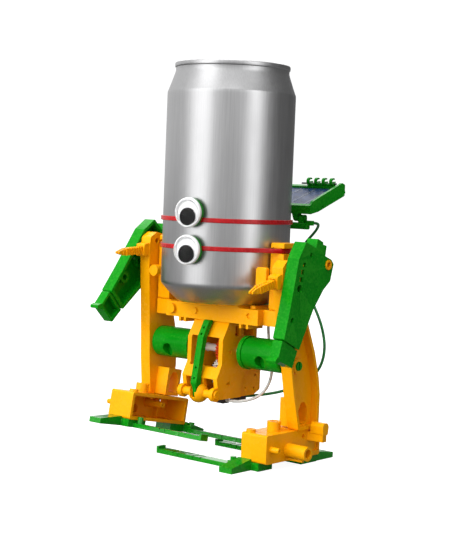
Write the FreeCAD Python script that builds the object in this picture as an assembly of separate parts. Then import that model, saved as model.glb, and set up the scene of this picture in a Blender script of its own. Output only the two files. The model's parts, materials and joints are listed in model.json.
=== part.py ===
"""Two-legged walking robot kit with a drink can for its body, one STEP file per piece, in millimetres.

X runs from the robot's left (-X) to its right (+X), -Y is its front and Z is up, with the floor at Z = 0.
The pieces are built about the can's axis, and moved together at the end so that the origin is the centre
of the bottom of the whole robot's box.
"""

import FreeCAD, Part
import math
import os

from FreeCAD import Vector

# ---------------------------------------------------------------- driving dimensions
CAN_RADIUS = 33.1
CAN_HEIGHT = 122.2
CAN_RIM_RADIUS = 29.75
CAN_STAND_RADIUS = 25.5
CAN_WALL = 0.35
CAN_BASE_Z = 79.5

BAND_WIDTH = 2.3
BAND_THICKNESS = 1.0
UPPER_BAND_Z = 122.0
LOWER_BAND_Z = 108.0

EYE_RADIUS = 7.5
EYE_TURN = 9.0              # degrees from straight ahead towards the robot's right
UPPER_EYE_Z = 125.5
LOWER_EYE_Z = 107.0
PUPIL_RADIUS = 4.5
PUPIL_DROP = 2.05

BEAM_HALF_LENGTH = 42.0
BEAM_FRONT_Y = -10.0
BEAM_REAR_Y = 14.0
BEAM_Z = (70.0, 78.0)
POST_X = (33.8, 42.0)
POST_TOP_Z = 112.0

SHOULDER_Y = 12.0
SHOULDER_Z = 102.0
SHOULDER_PIN_RADIUS = 2.5

DRIVE_Z = 54.8              # drive shaft's height, on the can's axis in Y
CRANK_RADIUS = 4.5
CRANK_ANGLE = -59.5         # right crank at rest, from +Y towards +Z
CRANK_PIN_RADIUS = 2.3
DRUM_RADIUS = 8.2
RUNNING_CLEARANCE = 0.05

LEG_X = (43.0, 49.5)
LEG_WEB = 2.5
LEFT_LEG_TURN = -9.9        # left leg at rest, swung so that its toes point up
ARM_X = (50.0, 57.0)
ARM_WALL = 1.6
LEFT_ARM_TURN = -22.4

FOOT_X = (32.7, 48.5)
FOOT_Y = (-21.0, 23.2)
FOOT_Z = (4.0, 18.3)
FOOT_WALL = 1.7
SIDE_TUBE_BORE = 2.3
TOE_PIVOT_Y = 1.1           # a half turn about this upright line makes right toes into left ones
TOE_THICKNESS = 2.3

GEARBOX_HALF_WIDTH = 11.8
GEARBOX_WALL = 2.4
GEAR_MODULE = 0.5
OUTPUT_TEETH = 36
WHEEL_TEETH = 30
IDLER_TEETH = 10
PINION_TEETH = 8
OUTPUT_X = (3.2, 5.7)       # the three layers of gears
SECOND_WHEEL_X = (6.0, 8.5)
FIRST_WHEEL_X = (0.4, 2.9)
BOTTOM_ROD = (-17.0, 33.3)
BOTTOM_ROD_RADIUS = 2.2

PANEL_X = (-26.0, 26.4)
PANEL_TILT = 19.8
PANEL_DEPTH = 30.0
PANEL_PIVOT_Y = 40.6
PANEL_PIVOT_Z = 123.6
PANEL_BAR_Z = (118.0, 121.6)
HINGE_PIN_RADIUS = 1.2

WIRE_DIAMETER = 1.5
CLIP_Z = (27.6, 30.6)
GREEN_WIRE_ROUTE = [
    (23.2, 42.4, 121.6), (23.2, 47.6, 121.6), (21.6, 51.2, 120.0), (18.2, 52.8, 116.6), (13.4, 52.0, 111.4),
    (9.8, 49.4, 104.6), (12.6, 46.0, 95.8), (21.8, 41.4, 86.8), (32.6, 35.6, 78.0), (41.2, 31.8, 67.4),
    (44.6, 30.2, 56.0), (41.6, 29.4, 45.4), (33.0, 27.6, 37.6), (22.0, 24.2, 32.8), (13.0, 21.0, 30.4),
    (7.8, 18.6, 29.4), (5.6, 15.4, 29.2), (5.6, 11.0, 29.2),
]
WHITE_WIRE_ROUTE = [
    (20.6, 12.2, 70.0), (20.6, 12.2, 65.4), (21.2, 13.0, 58.6), (23.2, 13.4, 50.4), (24.8, 11.4, 42.2),
    (25.0, 7.0, 35.8), (23.0, 2.2, 31.8), (18.6, -2.6, 29.9), (13.4, -4.9, 29.2), (8.6, -4.9, 29.2),
]

pieces = {}


# ---------------------------------------------------------------- shape helpers
def on_plane(plane, u, v):
    """The point with the two coordinates that the plane's name gives, such as yz."""
    place = {"x": 0.0, "y": 0.0, "z": 0.0}
    place[plane[0]] = u
    place[plane[1]] = v
    return Vector(place["x"], place["y"], place["z"])


def rounded_wire(points, radius, plane):
    """A closed wire through the points, each corner rounded as far as its two sides allow."""
    count = len(points)
    corners = []
    for i, here in enumerate(points):
        before = points[i - 1]
        after = points[(i + 1) % count]
        back = (before[0] - here[0], before[1] - here[1])
        ahead = (after[0] - here[0], after[1] - here[1])
        back_length = math.hypot(*back)
        ahead_length = math.hypot(*ahead)
        cosine = (back[0] * ahead[0] + back[1] * ahead[1]) / (back_length * ahead_length)
        half = math.acos(max(-1.0, min(1.0, cosine))) / 2
        reach = radius / math.tan(half) if radius else 0.0
        reach = min(reach, 0.45 * min(back_length, ahead_length))
        start = (here[0] + back[0] / back_length * reach, here[1] + back[1] / back_length * reach)
        end = (here[0] + ahead[0] / ahead_length * reach, here[1] + ahead[1] / ahead_length * reach)
        bulge = reach * math.tan(half)
        inward = (start[0] + end[0] - 2 * here[0], start[1] + end[1] - 2 * here[1])
        inward_length = math.hypot(*inward)
        if reach < 1e-6 or inward_length < 1e-6:
            corners.append((here, None, here))
            continue
        to_middle = bulge / math.sin(half) - bulge
        share = to_middle / inward_length
        middle = (here[0] + inward[0] * share, here[1] + inward[1] * share)
        corners.append((start, middle, end))
    edges = []
    for i, (start, middle, end) in enumerate(corners):
        if middle:
            arc = Part.Arc(on_plane(plane, *start), on_plane(plane, *middle), on_plane(plane, *end))
            edges.append(arc.toShape())
        following = corners[(i + 1) % count][0]
        if math.dist(end, following) > 1e-6:
            edges.append(Part.LineSegment(on_plane(plane, *end), on_plane(plane, *following)).toShape())
    return Part.Wire(edges)


def outline(points, radius=0.0, plane="yz"):
    return Part.Face(rounded_wire(points, radius, plane))


def side_plate(points, x_range, radius=0.0):
    """An outline in Y and Z, made solid between two X values."""
    face = outline(points, radius)
    face.translate(Vector(x_range[0], 0, 0))
    return face.extrude(Vector(x_range[1] - x_range[0], 0, 0))


def side_channel(points, x_range, web_x, wall, radius=0.0):
    """A side plate hollowed from one side, with a web between the web_x values and a wall around it."""
    solid = side_plate(points, x_range, radius)
    hollow = outline(points, radius).makeOffset2D(-wall)
    low, high = x_range
    if web_x[0] <= low + 1e-6:
        low = web_x[1]
    else:
        high = web_x[0]
    hollow.translate(Vector(low, 0, 0))
    return solid.cut(hollow.extrude(Vector(high - low, 0, 0)))


def block(x_range, y_range, z_range):
    corner = Vector(x_range[0], y_range[0], z_range[0])
    return Part.makeBox(x_range[1] - x_range[0], y_range[1] - y_range[0], z_range[1] - z_range[0], corner)


def rounded_block(x_range, y_range, z_range, radius, along="Z"):
    """A block whose edges along one axis are rounded."""
    solid = block(x_range, y_range, z_range)
    direction = {"X": Vector(1, 0, 0), "Y": Vector(0, 1, 0), "Z": Vector(0, 0, 1)}[along]
    edges = [edge for edge in solid.Edges if abs(edge.tangentAt(edge.FirstParameter).dot(direction)) > 0.99]
    return solid.makeFillet(radius, edges)


def rod_x(y, z, radius, x_range):
    return Part.makeCylinder(radius, x_range[1] - x_range[0], Vector(x_range[0], y, z), Vector(1, 0, 0))


def rod_y(x, z, radius, y_range):
    return Part.makeCylinder(radius, y_range[1] - y_range[0], Vector(x, y_range[0], z), Vector(0, 1, 0))


def rod_z(x, y, radius, z_range):
    return Part.makeCylinder(radius, z_range[1] - z_range[0], Vector(x, y, z_range[0]), Vector(0, 0, 1))


def cone_x(y, z, radii, x_range):
    start = Vector(x_range[0], y, z)
    return Part.makeCone(radii[0], radii[1], x_range[1] - x_range[0], start, Vector(1, 0, 0))


def lathe(profile, radius=0.0):
    """A profile in X and Z, turned about the Z axis."""
    return outline(profile, radius, "xz").revolve(Vector(0, 0, 0), Vector(0, 0, 1), 360)


def fuse(first, *others):
    return first.fuse(list(others)).removeSplitter()


def turned(shape, y, z, angle):
    """A copy turned about a line along X."""
    copy = shape.copy()
    copy.rotate(Vector(0, y, z), Vector(1, 0, 0), angle)
    return copy


def mirrored(shape):
    return shape.mirror(Vector(0, 0, 0), Vector(1, 0, 0))


def moved(shape, x=0.0, y=0.0, z=0.0):
    copy = shape.copy()
    copy.translate(Vector(x, y, z))
    return copy


# ---------------------------------------------------------------- can and bands
def make_can():
    top = CAN_HEIGHT
    outer = [
        (CAN_STAND_RADIUS - 1.6, 0.9),
        (CAN_STAND_RADIUS - 0.6, 0.0),
        (CAN_STAND_RADIUS + 0.9, 0.5),
        (CAN_RADIUS, 8.6),
        (CAN_RADIUS, top - 14.4),
        (CAN_RIM_RADIUS - 0.5, top - 4.0),
        (CAN_RIM_RADIUS - 0.5, top - 2.6),
    ]
    inner = [(r - CAN_WALL, z + (CAN_WALL if z < top / 2 else 0.0)) for r, z in reversed(outer[1:])]
    dome_height = 9.5
    dome = [(CAN_STAND_RADIUS - 2.2, 1.6), (CAN_STAND_RADIUS - 3.4, 3.6), (15.0, 7.6), (0.0, dome_height)]
    dome_under = [(0.0, dome_height - CAN_WALL), (15.0, 7.2), (CAN_STAND_RADIUS - 3.8, 3.1)]
    profile = outer + inner + dome + dome_under
    body = lathe(profile)
    body.translate(Vector(0, 0, CAN_BASE_Z))
    pieces["can_body"] = body

    seam_inner = CAN_RIM_RADIUS - 1.5
    recess_z = top - 5.6
    lid_profile = [
        (0.0, recess_z + 1.2),
        (21.4, recess_z + 1.2),
        (22.2, recess_z - 0.6),
        (23.4, recess_z - 0.6),
        (seam_inner - 0.9, top - 1.4),
        (seam_inner, top),
        (CAN_RIM_RADIUS, top),
        (CAN_RIM_RADIUS, top - 2.6),
        (CAN_RIM_RADIUS - 0.85, top - 2.6),
        (seam_inner - 0.5, top - 2.6),
        (23.8, recess_z - 1.1),
        (21.8, recess_z - 1.1),
        (21.0, recess_z + 0.7),
        (0.0, recess_z + 0.7),
    ]
    lid = lathe(lid_profile)
    lid.translate(Vector(0, 0, CAN_BASE_Z))
    pieces["can_lid"] = lid

    tab_z = CAN_BASE_Z + recess_z + 1.2
    stay = rod_z(0, 0, 2.4, (tab_z, tab_z + 1.2))
    plate = rounded_block((-7.6, 7.6), (-5.0, 17.0), (tab_z + 1.2, tab_z + 2.4), 6.0)
    finger_hole = rounded_block((-4.3, 4.3), (5.6, 14.2), (tab_z, tab_z + 4), 4.0)
    pieces["pull_tab"] = fuse(stay, plate.cut(finger_hole))


def make_bands():
    low = UPPER_BAND_Z - BAND_WIDTH / 2
    inner = CAN_RADIUS + 0.05
    ring = rod_z(0, 0, inner + BAND_THICKNESS, (low, low + BAND_WIDTH))
    pieces["upper_band"] = ring.cut(rod_z(0, 0, inner, (low - 1, low + BAND_WIDTH + 1)))

    low = LOWER_BAND_Z - BAND_WIDTH / 2
    inside = lower_band_path(inner, low, BAND_WIDTH)
    outside = lower_band_path(inner + BAND_THICKNESS, low, BAND_WIDTH)
    pieces["lower_band"] = outside.cut(inside)


def lower_band_path(radius, low, height):
    """What a band encloses when it is stretched round the can and the slots in both posts."""
    corner_x = POST_X[1] - 2.6 + radius - CAN_RADIUS
    corner_y = 3.4 + radius - CAN_RADIUS
    reach = math.hypot(corner_x, corner_y)
    tangent = math.degrees(math.atan2(corner_y, corner_x) + math.acos(radius / reach))
    touch = (radius * math.cos(math.radians(tangent)), radius * math.sin(math.radians(tangent)))
    front_and_back = []
    for side in (1, -1):
        arc = Part.Arc(
            Vector(touch[0], side * touch[1], low),
            Vector(0, side * radius, low),
            Vector(-touch[0], side * touch[1], low),
        )
        front_and_back.append(arc.toShape())
    corners = [(touch[0], touch[1]), (corner_x, corner_y), (corner_x, -corner_y), (touch[0], -touch[1])]
    sides = []
    for side in (1, -1):
        for start, end in zip(corners, corners[1:]):
            line = Part.LineSegment(
                Vector(side * start[0], start[1], low),
                Vector(side * end[0], end[1], low),
            )
            sides.append(line.toShape())
    ordered = Part.__sortEdges__(front_and_back + sides)
    return Part.Face(Part.Wire(ordered)).extrude(Vector(0, 0, height))


# ---------------------------------------------------------------- eyes
def face_outwards(shape, z):
    """Takes a shape built along +Z at the origin to the can's wall, facing out, at the eyes' turn."""
    copy = shape.copy()
    copy.rotate(Vector(0, 0, 0), Vector(1, 0, 0), 90)
    copy.translate(Vector(0, -CAN_RADIUS, z))
    copy.rotate(Vector(0, 0, 0), Vector(0, 0, 1), EYE_TURN)
    return copy


def make_eyes():
    holder_back = 0.35
    holder_front = 3.0
    cup_front = 5.4
    pupil_z = (cup_front - 1.0, cup_front - 0.1)
    for name, eye_z, band_z in (("upper", UPPER_EYE_Z, UPPER_BAND_Z), ("lower", LOWER_EYE_Z, LOWER_BAND_Z)):
        holder = rod_z(0, 0, EYE_RADIUS - 0.9, (0.2, holder_front))
        flange = rod_z(0, 0, EYE_RADIUS - 0.2, (holder_front - 0.9, holder_front))
        holder = face_outwards(holder.fuse(flange), eye_z)
        holder = holder.cut(rod_z(0, 0, CAN_RADIUS + holder_back, (eye_z - 20, eye_z + 20)))
        slot_radius = CAN_RADIUS + BAND_THICKNESS + 0.3
        slot_z = (band_z - BAND_WIDTH / 2 - 0.3, band_z + BAND_WIDTH / 2 + 0.3)
        holder = holder.cut(rod_z(0, 0, slot_radius, slot_z))
        pieces[name + "_eye_holder"] = holder

        cup = lathe(
            [(0, holder_front), (EYE_RADIUS, holder_front), (EYE_RADIUS, cup_front - 0.7),
             (EYE_RADIUS - 0.7, cup_front), (EYE_RADIUS - 0.9, cup_front - 1.2), (0, cup_front - 1.2)]
        )
        pieces[name + "_eye_cup"] = face_outwards(cup, eye_z)

        dome_radius = EYE_RADIUS - 0.75
        dome = lathe(
            [(0, cup_front + 1.9), (0, cup_front + 2.4), (dome_radius * 0.5, cup_front + 2.1),
             (dome_radius * 0.85, cup_front + 1.2), (dome_radius, cup_front + 0.02),
             (dome_radius - 0.5, cup_front + 0.02), (dome_radius * 0.8, cup_front + 0.9),
             (dome_radius * 0.47, cup_front + 1.65)]
        )
        pieces[name + "_eye_dome"] = face_outwards(dome, eye_z)

        pupil = Part.makeCylinder(PUPIL_RADIUS, pupil_z[1] - pupil_z[0], Vector(0, -PUPIL_DROP, pupil_z[0]))
        pieces[name + "_pupil"] = face_outwards(pupil, eye_z)


# ---------------------------------------------------------------- chassis
def make_chassis():
    half = BEAM_HALF_LENGTH
    beam = block((-half, half), (BEAM_FRONT_Y, BEAM_REAR_Y), BEAM_Z)
    for side in (-1, 1):
        notch = block(
            sorted((side * 31.0, side * (half + 1))), (BEAM_FRONT_Y - 1, -5.4), (BEAM_Z[0] - 1, BEAM_Z[1] + 1)
        )
        beam = beam.cut(notch)
    seat = rod_z(0, 0, CAN_STAND_RADIUS - 4.6, (BEAM_Z[1], CAN_BASE_Z + 1.4))
    seat = seat.common(block((-half, half), (BEAM_FRONT_Y, BEAM_REAR_Y), (0, 200)))
    rest_pads = []
    for x in (-24.4, 24.4):
        rest_pads.append(block((x - 1.6, x + 1.6), (-6.0, 8.0), (BEAM_Z[1], CAN_BASE_Z)))
    boss = rod_y(-26.5, 74.2, 2.6, (BEAM_FRONT_Y - 1.8, BEAM_FRONT_Y + 1))
    small_boss = rod_y(-10.5, 74.2, 1.5, (BEAM_FRONT_Y - 1.0, BEAM_FRONT_Y + 1))
    dimple = rod_y(25.0, 74.6, 1.3, (BEAM_FRONT_Y - 1, BEAM_FRONT_Y + 0.9))
    ribs = []
    for x in (-22.0, -18.5, 19.0, 23.5):
        ribs.append(block((x, x + 1.5), (BEAM_FRONT_Y, BEAM_FRONT_Y + 12), (BEAM_Z[0] - 2.2, BEAM_Z[0])))
    pieces["cross_beam"] = fuse(beam.cut(dimple), seat, boss, small_boss, *rest_pads, *ribs)

    post_outline = [
        (-5.2, BEAM_Z[1]), (BEAM_REAR_Y, BEAM_Z[1]), (BEAM_REAR_Y, 92.0), (SHOULDER_Y + 5.2, 97.0),
        (SHOULDER_Y + 5.2, 106.5), (8.0, POST_TOP_Z), (-5.2, POST_TOP_Z),
    ]
    post = side_plate(post_outline, POST_X, 1.2)
    post = post.cut(block((POST_X[0] - 1, POST_X[1] - 2.2), (-3.2, BEAM_REAR_Y - 2.2), (80.0, 90.0)))
    post = post.cut(rod_z(0, 0, CAN_RADIUS + 0.4, (BEAM_Z[1] - 1, POST_TOP_Z + 1)))
    slot_z = (LOWER_BAND_Z - BAND_WIDTH / 2 - 0.3, LOWER_BAND_Z + BAND_WIDTH / 2 + 0.3)
    slot = block((POST_X[1] - 3.0, POST_X[1] + 1), (-6, BEAM_REAR_Y + 6), slot_z)
    front_slot = block((POST_X[0] - 1, POST_X[1] + 1), (-6.2, -2.6), slot_z)
    rear_slot = block((POST_X[0] - 1, POST_X[1] + 1), (2.6, BEAM_REAR_Y + 6), slot_z)
    post = post.cut(slot.fuse([front_slot, rear_slot]))
    post = post.cut(rod_x(SHOULDER_Y, SHOULDER_Z, SHOULDER_PIN_RADIUS, (POST_X[0] + 2, POST_X[1] + 1)))
    pieces["right_post"] = post
    pieces["left_post"] = mirrored(post)

    pad = rounded_block((33.0, 39.6), (-15.6, -12.8), (89.6, 100.0), 1.6, "Y")
    neck = rod_y(37.2, 94.0, 1.9, (-12.8, -5.2))
    collar = rod_y(37.2, 94.0, 2.8, (-7.2, -5.2))
    pieces["right_clamp_pad"] = fuse(pad, neck, collar)
    knob = rod_y(37.2, 93.4, 3.0, (-14.6, -10.6))
    pieces["left_clamp_pad"] = mirrored(fuse(knob, neck, collar))

    pin = rod_x(SHOULDER_Y, SHOULDER_Z, SHOULDER_PIN_RADIUS, (POST_X[0] + 2, ARM_X[1] + 0.6))
    collar = rod_x(SHOULDER_Y, SHOULDER_Z, 3.6, (LEG_X[1] - 0.6, ARM_X[0] - 0.2))
    pin = fuse(pin, collar).cut(rod_x(SHOULDER_Y, SHOULDER_Z, 1.4, (LEG_X[1] - 4, ARM_X[1] + 1)))
    pieces["right_shoulder_pin"] = pin
    pieces["left_shoulder_pin"] = mirrored(pin)


# ---------------------------------------------------------------- solar panel
def make_panel():
    stand_x = (-5.0, 5.0)
    front = PANEL_PIVOT_Y - 2.0
    back = PANEL_PIVOT_Y + 2.0
    bar_z = PANEL_BAR_Z
    stand = side_plate(
        [(BEAM_REAR_Y, 71.0), (33.0, 71.0), (back, 79.0), (back, bar_z[1] - 2), (front, bar_z[1] - 2),
         (front, 82.0), (32.0, 76.0), (BEAM_REAR_Y, 76.0)], stand_x, 2.0,
    )
    foot_plate = block((-12.0, 12.0), (BEAM_REAR_Y, BEAM_REAR_Y + 3.0), (70.4, 77.6))
    cross_bar = rounded_block((-22.0, 22.0), (front, back), bar_z, 1.0, "X")
    terminal = block((20.9, 24.8), (front + 1.4, back - 0.2), (bar_z[1] - 1.4, bar_z[1] + 1.2))
    ears = []
    ear_top = PANEL_PIVOT_Z + 2.2
    for x in (-20.0, 17.0):
        ear = side_plate(
            [(front, bar_z[1] - 1), (back, bar_z[1] - 1), (back, ear_top), (front, ear_top)],
            (x, x + 3.0), 1.6,
        )
        pin_bore = HINGE_PIN_RADIUS + RUNNING_CLEARANCE
        ear = ear.cut(rod_x(PANEL_PIVOT_Y, PANEL_PIVOT_Z, pin_bore, (x - 1, x + 4)))
        ears.append(ear)
    pieces["panel_stand"] = fuse(stand, foot_plate, cross_bar, terminal, *ears)

    low_x, high_x = PANEL_X
    end_outline = [
        (-1.4, 3.6), (-1.4, 8.0), (1.6, 9.6), (PANEL_DEPTH - 0.6, 10.6), (PANEL_DEPTH + 1.6, 8.8),
        (PANEL_DEPTH - 0.6, 3.2), (4.0, 2.8),
    ]
    tray = block((low_x, high_x), (-1.4, PANEL_DEPTH), (4.4, 8.0))
    tray = tray.cut(block((low_x + 1.6, high_x - 1.6), (0.4, PANEL_DEPTH - 1.8), (6.4, 9.0)))
    front_rail = block((low_x, high_x), (-2.2, 0.4), (3.6, 8.4))
    rear_rail_top = 8.6
    rear_rail = block((low_x, high_x), (PANEL_DEPTH - 2.0, PANEL_DEPTH + 0.6), (4.4, rear_rail_top))
    ends = []
    for x in (low_x, high_x - 1.6):
        end = side_plate(end_outline, (x, x + 1.6), 0.8)
        for y in (9.0, 23.0):
            end = end.cut(rod_x(y, 5.2, 1.3, (x - 1, x + 3)))
        ends.append(end)
    lugs = []
    for x in (-16.6, 13.6):
        lug = side_plate([(-1.9, 0.0), (0.0, -1.9), (1.9, 0.0), (2.4, 4.8), (-2.2, 4.8)], (x, x + 3.0), 1.4)
        lugs.append(lug)
    hinge_pins = []
    for x_range in ((-20.4, -14.0), (14.0, 20.4)):
        hinge_pins.append(rod_x(0, 0, HINGE_PIN_RADIUS, x_range))
    ribs = []
    for x in (-9.6, 0.4, 10.4):
        ribs.append(block((x, x + 1.2), (1.0, PANEL_DEPTH - 2), (2.8, 4.4)))
    frame = fuse(tray, front_rail, rear_rail, *ends, *lugs, *hinge_pins, *ribs)
    cell = block((low_x + 1.8, high_x - 1.8), (0.6, PANEL_DEPTH - 2.2), (6.4, 7.6))
    rod_y_place = PANEL_DEPTH - 0.8
    rod_height = rear_rail_top + 1.3
    rod_radius = 0.5
    rod = rod_x(rod_y_place, rod_height, rod_radius, (-1.0, 22.4))
    hooks = []
    for i in range(4):
        x = 4.6 + 5.1 * i
        ring_height = rod_height + 1.2
        ring = rod_x(rod_y_place, ring_height, 2.1, (x - 0.8, x + 0.8))
        ring = ring.cut(rod_x(rod_y_place, ring_height, 1.1, (x - 1, x + 1)))
        gap_z = (ring_height - 0.4, ring_height + 0.9)
        gap = block((x - 1, x + 1), (rod_y_place + 0.4, rod_y_place + 4), gap_z)
        hooks.append(ring.cut(gap))
    hook_foot = block((3.2, 21.0), (rod_y_place - 1.0, rod_y_place + 1.0), (rear_rail_top, rod_height + 0.2))
    hook_set = fuse(hook_foot, *hooks).cut(rod_x(rod_y_place, rod_height, rod_radius, (-3.0, 24.0)))
    for name, shape in (
        ("solar_frame", frame), ("solar_cell", cell), ("hook_rod", rod), ("wire_hooks", hook_set),
    ):
        tilted = turned(shape, 0, 0, PANEL_TILT)
        pieces[name] = moved(tilted, 0, PANEL_PIVOT_Y, PANEL_PIVOT_Z)


# ---------------------------------------------------------------- gearbox
def gear(teeth, y, z, x_range, phase, bore=0.0):
    """A spur gear with straight-sided teeth, thin enough to run with backlash. phase is one tooth's angle."""
    pitch_radius = GEAR_MODULE * teeth / 2
    root = pitch_radius - 1.15 * GEAR_MODULE
    tip = pitch_radius + 0.8 * GEAR_MODULE
    step = 360.0 / teeth
    points = []
    for i in range(teeth):
        middle = phase + i * step
        for radius, share in ((root, -0.29), (tip, -0.1), (tip, 0.1), (root, 0.29)):
            angle = math.radians(middle + share * step)
            points.append((y + radius * math.cos(angle), z + radius * math.sin(angle)))
    wheel = side_plate(points, x_range)
    if bore:
        wheel = wheel.cut(rod_x(y, z, bore, (x_range[0] - 1, x_range[1] + 1)))
    return wheel


def meshing_phase(teeth, phase, direction, follower_teeth):
    """The tooth angle that puts a follower's tooth in the gap of a gear that it meets in that direction."""
    passed = ((direction - phase) * teeth / 360.0) % 1.0
    return direction + 180.0 - (0.5 - passed) * 360.0 / follower_teeth


def make_gearbox():
    half = GEARBOX_HALF_WIDTH
    wall = GEARBOX_WALL
    inside = half - wall
    profile = [
        (-8.6, 70.0), (14.0, 70.0), (14.0, 58.5), (20.0, 54.0), (20.0, 33.0), (15.0, 30.6), (-15.0, 30.6),
        (-17.0, 41.5), (-13.5, 48.5), (-13.5, 61.0),
    ]
    shell = side_channel(profile, (-inside, half), (inside, half), wall, 0.8)
    window = block((-9.2, 9.2), (-20.0, -6.0), (46.8, 62.0))
    lower_windows = []
    for x_range in ((-9.2, -2.6), (2.6, 9.2)):
        lower_windows.append(block(x_range, (-20.0, -9.0), (34.6, 41.0)))
    vents = []
    for z in (38.0, 44.0, 50.0):
        vents.append(block((-6.0, 6.0), (15.0, 24.0), (z - 1.2, z + 1.2)))
    shaft_hole = rod_x(0, DRIVE_Z, 2.4 + RUNNING_CLEARANCE, (-half - 1, half + 1))
    seam = block((-half - 1, half + 1), (-9.0, -8.2), (66.0, 66.5))
    arrows = []
    for y, z in ((-8.8, 54.6), (-9.6, 38.4)):
        arrows.append(side_plate([(y, z), (y + 2.8, z + 1.3), (y + 2.8, z - 1.3)], (inside - 1, half + 1)))
    pockets = []
    for y_range in ((-3.6, 0.4), (3.0, 11.6)):
        pockets.append(block((inside - 1, half + 1), y_range, (62.6, 68.0)))
    corner_outline = [(2.6, 28.0), (2.6, 39.0), (6.4, 44.0), (22.0, 44.0), (22.0, 28.0)]
    corner = side_plate(corner_outline, (half - 1.4, half + 1))
    dots = []
    for y, z in ((16.0, 41.0), (15.0, 34.0), (8.0, 34.6)):
        dots.append(rod_x(y, z, 0.8, (inside - 1, half + 1)))
    room = window.fuse(lower_windows + vents + [shaft_hole, seam, corner] + arrows + pockets + dots)
    shell = shell.cut(room)
    nose = rod_x(*BOTTOM_ROD, BOTTOM_ROD_RADIUS + 1.3, (inside, half))
    lever_room = block((-2.3, 2.3), (-22.0, -11.0), (28.0, 37.6))
    rod_room = rod_x(*BOTTOM_ROD, BOTTOM_ROD_RADIUS, (-half - 1, half + 1))
    pieces["gearbox_housing"] = fuse(shell, nose).cut(lever_room.fuse(rod_room))

    cover = side_plate(profile, (-half, -inside), 0.8)
    cover = cover.fuse(rod_x(*BOTTOM_ROD, BOTTOM_ROD_RADIUS + 1.3, (-half, -inside)))
    cover = cover.cut(shaft_hole.fuse(rod_room))
    head_x = (-half - 1.1, -half)
    slot_x = (-half - 2, -half - 0.6)
    screws = []
    for y, z in ((-6.4, 67.0), (11.6, 67.0), (17.4, 36.0), (-11.8, 34.0)):
        cover = cover.cut(rod_x(y, z, 1.0, (-half - 1, 0)))
        head = rod_x(y, z, 1.9, head_x)
        head = head.cut(block(slot_x, (y - 0.3, y + 0.3), (z - 1.4, z + 1.4)))
        head = head.cut(block(slot_x, (y - 1.4, y + 1.4), (z - 0.3, z + 0.3)))
        screws.append(fuse(rod_x(y, z, 1.0, (-half, -inside)), head))
    pieces["gearbox_cover"] = cover
    pieces["cover_screws"] = Part.makeCompound(screws)

    pieces["bottom_rod"] = rod_x(*BOTTOM_ROD, BOTTOM_ROD_RADIUS, (-half - 0.8, half + 0.8))
    make_gears(inside)
    make_lever()


def make_gears(inside):
    def next_centre(centre, teeth_a, teeth_b, direction):
        distance = GEAR_MODULE * (teeth_a + teeth_b) / 2 + 0.05
        angle = math.radians(direction)
        return (centre[0] + distance * math.cos(angle), centre[1] + distance * math.sin(angle))

    output = (0.0, DRIVE_Z)
    to_second = -45.0
    to_first = 205.0
    to_motor = -9.0
    second = next_centre(output, OUTPUT_TEETH, IDLER_TEETH, to_second)
    first = next_centre(second, WHEEL_TEETH, IDLER_TEETH, to_first)
    motor_axis = next_centre(first, WHEEL_TEETH, PINION_TEETH, to_motor)
    print("second idler", second, "first idler", first, "motor", motor_axis)

    output_phase = 0.0
    pieces["output_gear"] = gear(OUTPUT_TEETH, *output, OUTPUT_X, output_phase, 2.0)
    second_pinion = meshing_phase(OUTPUT_TEETH, output_phase, to_second, IDLER_TEETH)
    first_pinion = meshing_phase(WHEEL_TEETH, 0.0, to_first, IDLER_TEETH)
    motor_phase = meshing_phase(WHEEL_TEETH, 0.0, to_motor, PINION_TEETH)
    axle_radius = 1.0
    bore = axle_radius + RUNNING_CLEARANCE
    pieces["second_idler"] = fuse(
        gear(IDLER_TEETH, *second, (OUTPUT_X[0], SECOND_WHEEL_X[0]), second_pinion, bore),
        gear(WHEEL_TEETH, *second, SECOND_WHEEL_X, 0.0, bore),
    )
    spacer = rod_x(*first, 1.7, (FIRST_WHEEL_X[1], SECOND_WHEEL_X[0]))
    spacer = spacer.cut(rod_x(*first, bore, (FIRST_WHEEL_X[0], SECOND_WHEEL_X[1])))
    pieces["first_idler"] = fuse(
        gear(IDLER_TEETH, *first, SECOND_WHEEL_X, first_pinion, bore),
        spacer,
        gear(WHEEL_TEETH, *first, FIRST_WHEEL_X, 0.0, bore),
    )
    pinion = gear(PINION_TEETH, *motor_axis, FIRST_WHEEL_X, motor_phase)
    pieces["motor_pinion"] = fuse(pinion, rod_x(*motor_axis, 0.9, (-1.0, FIRST_WHEEL_X[0])))
    case = rod_x(*motor_axis, 6.6, (-inside, -1.4))
    case = case.makeFillet(0.6, [edge for edge in case.Edges if edge.Length > 30])
    bearing = rod_x(*motor_axis, 2.0, (-1.4, -0.6))
    pieces["motor"] = fuse(case, bearing).cut(rod_x(*motor_axis, 0.9 + RUNNING_CLEARANCE, (-3.0, 0)))
    axles = [
        rod_x(*second, axle_radius, (OUTPUT_X[0] - 0.6, inside)),
        rod_x(*first, axle_radius, (-inside, inside)).cut(rod_x(*motor_axis, 7.0, (-inside, -0.2))),
    ]
    pieces["idler_axles"] = Part.makeCompound(axles)

    shaft = rod_x(*output, 2.0, (-21.0, 21.0))
    collar = rod_x(*output, 2.4, (-14.0, -8.9))
    other_collar = rod_x(*output, 2.4, (8.9, 14.0))
    pieces["drive_shaft"] = fuse(shaft, collar, other_collar)


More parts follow.
